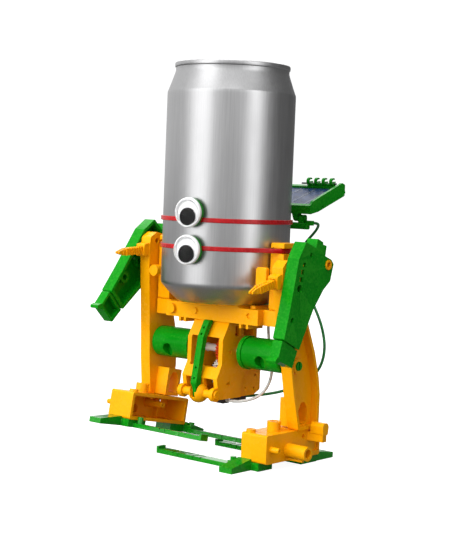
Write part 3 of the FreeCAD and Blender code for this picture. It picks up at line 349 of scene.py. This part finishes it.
def mesh_object(name, bm, smooth_angle=35):
    """A piece from a bmesh, smooth except where its faces meet at more than an angle in degrees."""
    bmesh.ops.recalc_face_normals(bm, faces=bm.faces)
    mesh = bpy.data.meshes.new(name)
    bm.to_mesh(mesh)
    bm.free()
    for polygon in mesh.polygons:
        polygon.use_smooth = True
    mesh.set_sharp_from_angle(angle=math.radians(smooth_angle))
    return new_object(name, mesh)


# ---------------------------------------------------------------- wires
GREEN_WIRE_ROUTE = [
    (23.2, 42.4, 121.6), (23.2, 47.6, 121.6), (21.6, 51.2, 120.0), (18.2, 52.8, 116.6), (13.4, 52.0, 111.4),
    (9.8, 49.4, 104.6), (12.6, 46.0, 95.8), (21.8, 41.4, 86.8), (32.6, 35.6, 78.0), (41.2, 31.8, 67.4),
    (44.6, 30.2, 56.0), (41.6, 29.4, 45.4), (33.0, 27.6, 37.6), (22.0, 24.2, 32.8), (13.0, 21.0, 30.4),
    (7.8, 18.6, 29.4), (5.6, 15.4, 29.2), (5.6, 11.0, 29.2),
]
WHITE_WIRE_ROUTE = [
    (20.6, 12.2, 70.0), (20.6, 12.2, 65.4), (21.2, 13.0, 58.6), (23.2, 13.4, 50.4), (24.8, 11.4, 42.2),
    (25.0, 7.0, 35.8), (23.0, 2.2, 31.8), (18.6, -2.6, 29.9), (13.4, -4.9, 29.2), (8.6, -4.9, 29.2),
]
WIRE_DIAMETER = 1.5 * MM


def make_wire(node, route):
    """A limp wire on the route's points, which are in millimetres from the can's axis."""
    curve = bpy.data.curves.new(node + "_sleeve", "CURVE")
    curve.dimensions = "3D"
    spline = curve.splines.new("NURBS")
    spline.points.add(len(route) - 1)
    for point, place in zip(spline.points, route):
        point.co = (*(CAN_AXIS + Vector(place) * MM), 1)
    spline.order_u = 3
    spline.use_endpoint_u = True
    spline.resolution_u = 8
    curve.bevel_depth = WIRE_DIAMETER / 2
    curve.bevel_resolution = 5
    curve.use_fill_caps = True
    wire = new_object(node + "_sleeve", curve)
    finish_piece(wire, node)
    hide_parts(node)


make_wire("green_wire", GREEN_WIRE_ROUTE)
make_wire("white_wire", WHITE_WIRE_ROUTE)


# ---------------------------------------------------------------- moulded and machined pieces
def clean_copy(node):
    """The node's surface with its flat faces whole again, ready for rounded edges."""
    bm = bmesh.new()
    bm.from_mesh(frame["nodes"][node].data)
    bmesh.ops.remove_doubles(bm, verts=bm.verts, dist=2e-6)
    bmesh.ops.dissolve_limit(bm, angle_limit=math.radians(0.6), verts=bm.verts, edges=bm.edges)
    return bm


SCORE_REACHES = (15 * MM, 25 * MM)      # a toe's two grooves, from its inner end
SCORE_HALF_WIDTH = 0.35 * MM
SCORE_DEPTH = 0.8 * MM


def score(bm, x):
    """Presses a narrow V groove across the bar of a toe, over its top and down its sides."""
    for place in (x - SCORE_HALF_WIDTH, x, x + SCORE_HALF_WIDTH):
        everything = bm.verts[:] + bm.edges[:] + bm.faces[:]
        bmesh.ops.bisect_plane(bm, geom=everything, plane_co=(place, 0, 0), plane_no=(1, 0, 0), dist=1e-6)
    ring = [v for v in bm.verts if abs(v.co.x - x) < 5e-6]
    low_z = min(v.co.z for v in ring)
    high_z = max(v.co.z for v in ring)
    middle_y = sum(v.co.y for v in ring) / len(ring)
    for v in ring:
        if v.co.z > (low_z + high_z) / 2:
            v.co.z -= SCORE_DEPTH
        v.co.y += math.copysign(SCORE_DEPTH / 2, middle_y - v.co.y)


def moulded(node, radius):
    """A copy of the node with every sharp edge rounded, and a toe's grooves pressed in."""
    bm = clean_copy(node)
    is_toe = node.endswith("_toe")
    if is_toe:
        low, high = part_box(node)
        for reach in SCORE_REACHES:
            score(bm, high.x - reach if node.startswith("left") else low.x + reach)
    piece = mesh_object(node + "_moulding", bm, 30)
    bevel = piece.modifiers.new("edges", "BEVEL")
    bevel.width = radius
    bevel.segments = 2
    bevel.limit_method = "ANGLE"
    bevel.angle_limit = math.radians(38)
    bevel.use_clamp_overlap = True
    bevel.harden_normals = True
    finish_piece(piece, node, material=MATERIALS["glossy_green"] if is_toe else None)
    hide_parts(node)


# how far each moulded edge is rounded, in millimetres
ROUNDINGS = {
    "cross_beam": 0.35, "left_post": 0.4, "right_post": 0.4, "left_clamp_pad": 0.4, "right_clamp_pad": 0.4,
    "left_shoulder_pin": 0.2, "right_shoulder_pin": 0.2, "gearbox_housing": 0.35, "gearbox_cover": 0.35,
    "bottom_rod": 0.4, "lever_socket": 0.2, "left_leg": 0.4, "right_leg": 0.4, "left_peg": 0.15,
    "right_peg": 0.15, "left_foot": 0.4, "right_foot": 0.4, "panel_stand": 0.4, "solar_frame": 0.3,
    "left_drum": 0.3, "right_drum": 0.3, "left_crank_pin": 0.2, "right_crank_pin": 0.2, "front_lever": 0.35,
    "left_front_toe": 0.2, "left_rear_toe": 0.2, "right_front_toe": 0.2, "right_rear_toe": 0.2,
    "left_arm": 0.35, "right_arm": 0.35, "left_hand": 0.3, "right_hand": 0.3, "wire_hooks": 0.12,
    "cover_screws": 0.1, "motor": 0.2, "motor_pinion": 0.06, "first_idler": 0.06, "second_idler": 0.06,
    "output_gear": 0.06, "drive_shaft": 0.2, "idler_axles": 0.1, "wire_clips": 0.3, "hook_rod": 0.15,
    "upper_band": 0.35, "lower_band": 0.35,
}
for node, rounding in ROUNDINGS.items():
    moulded(node, rounding * MM)


# ---------------------------------------------------------------- can
def lathe(profile, segments, matrix, closed=False):
    """Turns a profile of (radius, height) points about Z, then places it. A closed one meets its start."""
    bm = bmesh.new()
    rings = []
    for radius, height in profile:
        if radius < 1e-7:
            rings.append([bm.verts.new((0, 0, height))])
            continue
        ring = []
        for i in range(segments):
            angle = 2 * math.pi * i / segments
            ring.append(bm.verts.new((radius * math.cos(angle), radius * math.sin(angle), height)))
        rings.append(ring)
    pairs = list(zip(rings, rings[1:] + rings[:1])) if closed else list(zip(rings, rings[1:]))
    for low, high in pairs:
        if len(low) == 1 and len(high) == 1:
            continue
        for i in range(segments):
            j = (i + 1) % segments
            corners = [low[i % len(low)], low[j % len(low)], high[j % len(high)], high[i % len(high)]]
            unique = list(dict.fromkeys(corners))
            bm.faces.new(unique)
    bmesh.ops.transform(bm, matrix=matrix, verts=bm.verts)
    return bm


def smooth_profile(points, steps):
    """Rounds a profile's corners by cutting them a number of times, leaving its ends in place."""
    for _ in range(steps):
        cut = [points[0]]
        for a, b in zip(points, points[1:]):
            cut.append((a[0] * 0.75 + b[0] * 0.25, a[1] * 0.75 + b[1] * 0.25))
            cut.append((a[0] * 0.25 + b[0] * 0.75, a[1] * 0.25 + b[1] * 0.75))
        cut.append(points[-1])
        points = cut
    return points


def in_metres(profile):
    return [(radius * MM, height * MM) for radius, height in profile]


def make_can():
    """The can's shell with its stepped base and neck, and its lid. The profiles are in millimetres."""
    place = Matrix.Translation(CAN_AXIS + Vector((0, 0, CAN_BASE)))
    r = CAN_RADIUS / MM
    neck_top = (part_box("can_body")[1].z - CAN_BASE) / MM
    stand = [
        (0.0, 9.4), (9.0, 8.8), (16.0, 6.9), (19.6, 4.2), (21.4, 2.0), (22.2, 0.5), (23.4, 0.0),
        (24.6, 0.5), (27.4, 3.0), (r - 1.5, 7.5), (r - 0.4, 8.8), (r, 9.8), (r, 12.0),
    ]
    wall = [(r, 12.0), (r, 30), (r, 60), (r, 90), (r, 104.4)]
    neck = [
        (r, 104.4), (r, 106.6), (r - 0.15, 107.4), (r - 0.5, 108.2), (r - 1.7, 111.4), (r - 3.0, 115.2),
        (r - 3.75, 117.4), (r - 3.9, 118.4), (r - 3.85, neck_top),
    ]
    profile = smooth_profile(stand, 2) + wall[1:-1] + smooth_profile(neck, 2)
    profile += [(r - 4.5, neck_top), (0.0, neck_top)]
    body = mesh_object("can_shell", lathe(in_metres(profile), 160, place), 50)
    finish_piece(body, "can_body")
    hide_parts("can_body")

    top = (CAN_TOP - CAN_BASE) / MM
    rim = (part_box("can_lid")[1].x - CAN_AXIS.x) / MM
    seam = [
        (rim - 1.0, top - 2.6), (rim - 0.2, top - 2.55), (rim - 0.02, top - 2.0), (rim, top - 1.0),
        (rim - 0.1, top - 0.35), (rim - 0.6, top), (rim - 1.15, top - 0.25), (rim - 1.35, top - 1.0),
    ]
    chuck = [
        (rim - 1.45, top - 2.0), (rim - 2.3, top - 3.6), (rim - 4.7, top - 5.6), (rim - 5.3, top - 6.15),
        (rim - 6.4, top - 6.25), (rim - 7.1, top - 5.9), (rim - 7.5, top - 4.7), (rim - 8.3, top - 4.4),
    ]
    panel = top - 4.4
    centre = [(12.0, panel), (4.5, panel), (3.2, top - 4.15), (2.9, top - 3.6), (0.0, top - 3.5)]
    lid_profile = smooth_profile(seam, 2) + smooth_profile(chuck, 2) + smooth_profile(centre, 1)
    bm = lathe(in_metres(lid_profile), 128, place)
    add_lid_beads(bm, place, panel)
    lid = mesh_object("can_end", bm, 50)
    finish_piece(lid, "can_lid")
    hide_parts("can_lid")


def add_tube(bm, path, radius, sides=8):
    """A round bead along a closed path of points."""
    rings = []
    count = len(path)
    for i, point in enumerate(path):
        along = (path[(i + 1) % count] - path[i - 1]).normalized()
        side = along.cross(Vector((0, 0, 1))).normalized()
        up = side.cross(along)
        ring = []
        for k in range(sides):
            angle = 2 * math.pi * k / sides
            ring.append(bm.verts.new(point + (side * math.cos(angle) + up * math.sin(angle)) * radius))
        rings.append(ring)
    for i in range(count):
        low, high = rings[i], rings[(i + 1) % count]
        for k in range(sides):
            bm.faces.new((low[k], low[(k + 1) % sides], high[(k + 1) % sides], high[k]))


def add_lid_beads(bm, place, height):
    """The raised bead round the lid's middle panel and the score line of its closed mouth."""
    steps = 72
    for centre_y, half_x, half_y, radius in ((0.0, 17.5, 17.5, 0.45), (-9.4, 8.6, 6.6, 0.22)):
        path = []
        for i in range(steps):
            angle = 2 * math.pi * i / steps
            point = Vector((half_x * math.cos(angle), centre_y + half_y * math.sin(angle), height + 0.05))
            path.append(place @ (point * MM))
        add_tube(bm, path, radius * MM)


def make_tab():
    """The pull tab: a curled ring with a finger hole, over its rivet."""
    z = (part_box("pull_tab")[1].z - CAN_BASE) / MM - 0.75
    place = Matrix.Translation(CAN_AXIS + Vector((0, 0, CAN_BASE)))
    bm = bmesh.new()
    outer = []
    inner = []
    count = 56
    for i in range(count):
        angle = 2 * math.pi * i / count
        square = 1 / max(abs(math.cos(angle)), abs(math.sin(angle))) ** 0.35
        x = 6.7 * square * math.cos(angle)
        y = 6.0 + 10.0 * square * math.sin(angle) * 0.98
        outer.append(Vector((x, y, z)))
        inner.append(Vector((4.3 * math.cos(angle), 9.9 + 4.4 * math.sin(angle), z)))
    add_tube(bm, [place @ (p * MM) for p in outer], 0.75 * MM, sides=10)
    add_tube(bm, [place @ (p * MM) for p in inner], 0.5 * MM)
    for lift in (0.25, -0.15):
        outer_ring = [bm.verts.new(place @ ((p + Vector((0, 0, lift))) * MM)) for p in outer]
        inner_ring = [bm.verts.new(place @ ((p + Vector((0, 0, lift))) * MM)) for p in inner]
        for i in range(count):
            j = (i + 1) % count
            bm.faces.new((outer_ring[i], outer_ring[j], inner_ring[j], inner_ring[i]))
    rivet = [(0.0, z - 1.4), (2.3, z - 1.4), (2.3, z + 0.4), (1.6, z + 0.72), (0.0, z + 0.74)]
    rivet_bm = lathe(in_metres(rivet), 32, place)
    rivet_mesh = bpy.data.meshes.new("rivet")
    rivet_bm.to_mesh(rivet_mesh)
    rivet_bm.free()
    bm.from_mesh(rivet_mesh)
    bpy.data.meshes.remove(rivet_mesh)
    tab = mesh_object("pull_tab_ring", bm, 50)
    finish_piece(tab, "pull_tab")
    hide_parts("pull_tab")


make_can()
make_tab()


# ---------------------------------------------------------------- eyes
def span_along(node, direction):
    reaches = [(p - CAN_AXIS).dot(direction) for p in points_of(node)]
    return min(reaches), max(reaches)


def make_eye(which):
    """A googly eye: green holder, white cup, clear dome and a loose pupil."""
    cup = which + "_eye_cup"
    low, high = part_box(cup)
    centre = (low + high) / 2
    outward = Vector((centre.x - CAN_AXIS.x, centre.y - CAN_AXIS.y, 0)).normalized()
    sideways = Vector((0, 0, 1)).cross(outward)
    base = Vector((CAN_AXIS.x, CAN_AXIS.y, centre.z))
    turn = Matrix((sideways, Vector((0, 0, 1)), outward)).transposed().to_4x4()
    place = Matrix.Translation(base) @ turn
    radius = (high.z - low.z) / 2
    back, front = span_along(cup, outward)
    edge = 0.9 * MM
    profile = [
        (0.0, back), (radius - 0.5 * MM, back), (radius, back + 0.5 * MM), (radius, front - edge),
        (radius - 0.25 * MM, front - 0.25 * MM), (radius - edge, front),
        (radius - 1.5 * MM, front - 0.5 * MM), (radius - 1.7 * MM, front - 1.2 * MM),
        (0.0, front - 1.2 * MM),
    ]
    shell = mesh_object(which + "_eye_shell", lathe(smooth_profile(profile, 2), 96, place), 45)
    finish_piece(shell, cup)
    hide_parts(cup)

    dome_low, dome_high = span_along(which + "_eye_dome", outward)
    span = radius - 0.8 * MM
    rise = dome_high - dome_low
    wall = 0.35 * MM
    steps = 12
    outer = []
    inner = []
    for i in range(steps + 1):
        part = math.pi / 2 * i / steps
        outer.append((span * math.cos(part), dome_low + rise * math.sin(part)))
        inner.append(((span - wall) * math.cos(part), dome_low + (rise - wall) * math.sin(part)))
    dome = mesh_object(which + "_eye_lens", lathe(outer + inner[::-1], 96, place, closed=True), 60)
    finish_piece(dome, which + "_eye_dome")
    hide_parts(which + "_eye_dome")

    pupil = which + "_pupil"
    low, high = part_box(pupil)
    pupil_radius = (high.z - low.z) / 2
    pupil_back, pupil_front = span_along(pupil, outward)
    drop = Matrix.Translation(Vector((0, (low.z + high.z) / 2 - centre.z, 0)))
    rim = 0.3 * MM
    profile = [
        (0.0, pupil_back), (pupil_radius - rim, pupil_back), (pupil_radius, pupil_back + rim),
        (pupil_radius, pupil_front - rim), (pupil_radius - rim, pupil_front), (0.0, pupil_front),
    ]
    disc = mesh_object(which + "_pupil_disc_piece", lathe(profile, 72, place @ drop), 40)
    finish_piece(disc, pupil)
    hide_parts(pupil)
    moulded(which + "_eye_holder", 0.25 * MM)


make_eye("upper")
make_eye("lower")


# ---------------------------------------------------------------- solar cell
def make_solar_cell():
    """The cell sheet with raised silver collector strips, under the frame's lip."""
    source = frame["nodes"]["solar_cell"].data
    largest = max(source.polygons, key=lambda polygon: polygon.area * (polygon.normal.z > 0))
    normal = largest.normal.copy()
    along = Vector((0, normal.z, -normal.y)).normalized()
    moulded("solar_cell", 0.12 * MM)
    points = points_of("solar_cell")
    centre = sum(points, Vector()) / len(points)
    half_depth = max((p - centre).dot(along) for p in points)
    half_thick = max((p - centre).dot(normal) for p in points)
    half_width = max(p.x - centre.x for p in points)
    size = Matrix.Diagonal((0.44 * MM, half_depth * 1.88, 0.12 * MM, 1))
    turn = Matrix((Vector((1, 0, 0)), along, normal)).transposed().to_4x4()
    bm = bmesh.new()
    for i in range(5):
        bar = bmesh.ops.create_cube(bm, size=1.0)
        across = Vector((half_width * (-0.8 + 0.4 * i), 0, 0))
        place = Matrix.Translation(centre + across + normal * (half_thick + 0.05 * MM))
        bmesh.ops.transform(bm, matrix=place @ turn @ size, verts=bar["verts"])
    bars = mesh_object("solar_collector_strips", bm)
    bars.data.materials.append(MATERIALS["collector"])
    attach(bars, body_of_node("solar_cell"))


make_solar_cell()


# ---------------------------------------------------------------- floor and light
def make_floor():
    """A pale floor that fades to the white of the backdrop."""
    bpy.ops.mesh.primitive_plane_add(size=8, location=(0, 0, 0))
    floor = bpy.context.object
    floor.name = "studio_floor"
    m = Nodes("pale_floor")
    seen = m.add("ShaderNodeLightPath").outputs["Is Camera Ray"]
    paper = m.ramp(m.noise(30, 3), (0.13, 0.13, 0.13, 1), (0.16, 0.16, 0.16, 1))
    m.colour(m.mix(seen, paper, (0.3, 0.3, 0.3, 1)))
    glow = m.add("ShaderNodeMath", operation="MULTIPLY")
    glow.inputs[1].default_value = 0.93
    m.link(seen, glow.inputs[0])
    m.set(Emission_Color=(1, 1, 1, 1))
    m.link(glow.outputs[0], m.shader.inputs["Emission Strength"])
    m.roughness(m.ramp(m.noise(60, 3), 0.7, 0.85))
    floor.data.materials.append(m.material)


def bearing(azimuth, elevation=0.0):
    """The direction at an azimuth measured from the robot's front towards its right."""
    a = math.radians(azimuth)
    e = math.radians(elevation)
    return Vector((math.sin(a) * math.cos(e), -math.cos(a) * math.cos(e), math.sin(e)))


def soft_box(name, azimuth, elevation, size, radiance, distance=1.1, matt=True, gloss=True):
    """A soft box that faces the robot, evenly bright, for matt or glossy light or both."""
    aim_height = 100 * MM
    direction = bearing(azimuth, elevation)
    data = bpy.data.lights.new(name, "AREA")
    data.shape = "RECTANGLE"
    data.size, data.size_y = size
    data.energy = radiance * math.pi * size[0] * size[1]
    light = bpy.data.objects.new(name, data)
    light.location = CAN_AXIS + Vector((0, 0, aim_height)) + direction * distance
    light.visible_camera = False
    light.visible_diffuse = matt
    light.visible_glossy = gloss
    light.rotation_mode = "QUATERNION"
    light.rotation_quaternion = (-direction).to_track_quat("-Z", "Y")
    scene.collection.objects.link(light)


def make_world():
    """Even light from all round, but for a dark side behind the robot's right. The backdrop is white."""
    world = bpy.data.worlds.new("studio")
    scene.world = world
    world.use_nodes = True
    tree = world.node_tree
    background = tree.nodes["Background"]
    background.inputs["Color"].default_value = (1, 1, 1, 1)
    direction = tree.nodes.new("ShaderNodeTexCoord").outputs["Generated"]
    towards = tree.nodes.new("ShaderNodeVectorMath")
    towards.operation = "DOT_PRODUCT"
    towards.inputs[1].default_value = bearing(158)
    tree.links.new(direction, towards.inputs[0])
    shade = tree.nodes.new("ShaderNodeMapRange")
    shade.inputs["From Min"].default_value = 0.0
    shade.inputs["From Max"].default_value = 0.82
    shade.inputs["To Min"].default_value = 0.88
    shade.inputs["To Max"].default_value = 0.12
    tree.links.new(towards.outputs["Value"], shade.inputs["Value"])
    path = tree.nodes.new("ShaderNodeLightPath")
    strength = tree.nodes.new("ShaderNodeMix")
    tree.links.new(path.outputs["Is Camera Ray"], strength.inputs[0])
    tree.links.new(shade.outputs["Result"], strength.inputs[2])
    strength.inputs[3].default_value = 1.05
    tree.links.new(strength.outputs[0], background.inputs["Strength"])


make_floor()
make_world()
soft_box("key", -12, 14, (0.46, 1.0), 1.8, distance=0.7)
soft_box("right_strip", 84, 8, (0.30, 0.86), 1.8, distance=0.7, matt=False)
soft_box("front_fill", -8, 24, (1.3, 1.2), 1.75, gloss=False)
soft_box("overhead", 0, 88, (1.2, 1.2), 1.4, distance=1.0)
soft_box("back_light", 216, 42, (1.4, 0.6), 2.2, distance=1.3)
soft_box("low_back_strip", 220, 13, (0.55, 0.44), 1.1, distance=1.3, matt=False)
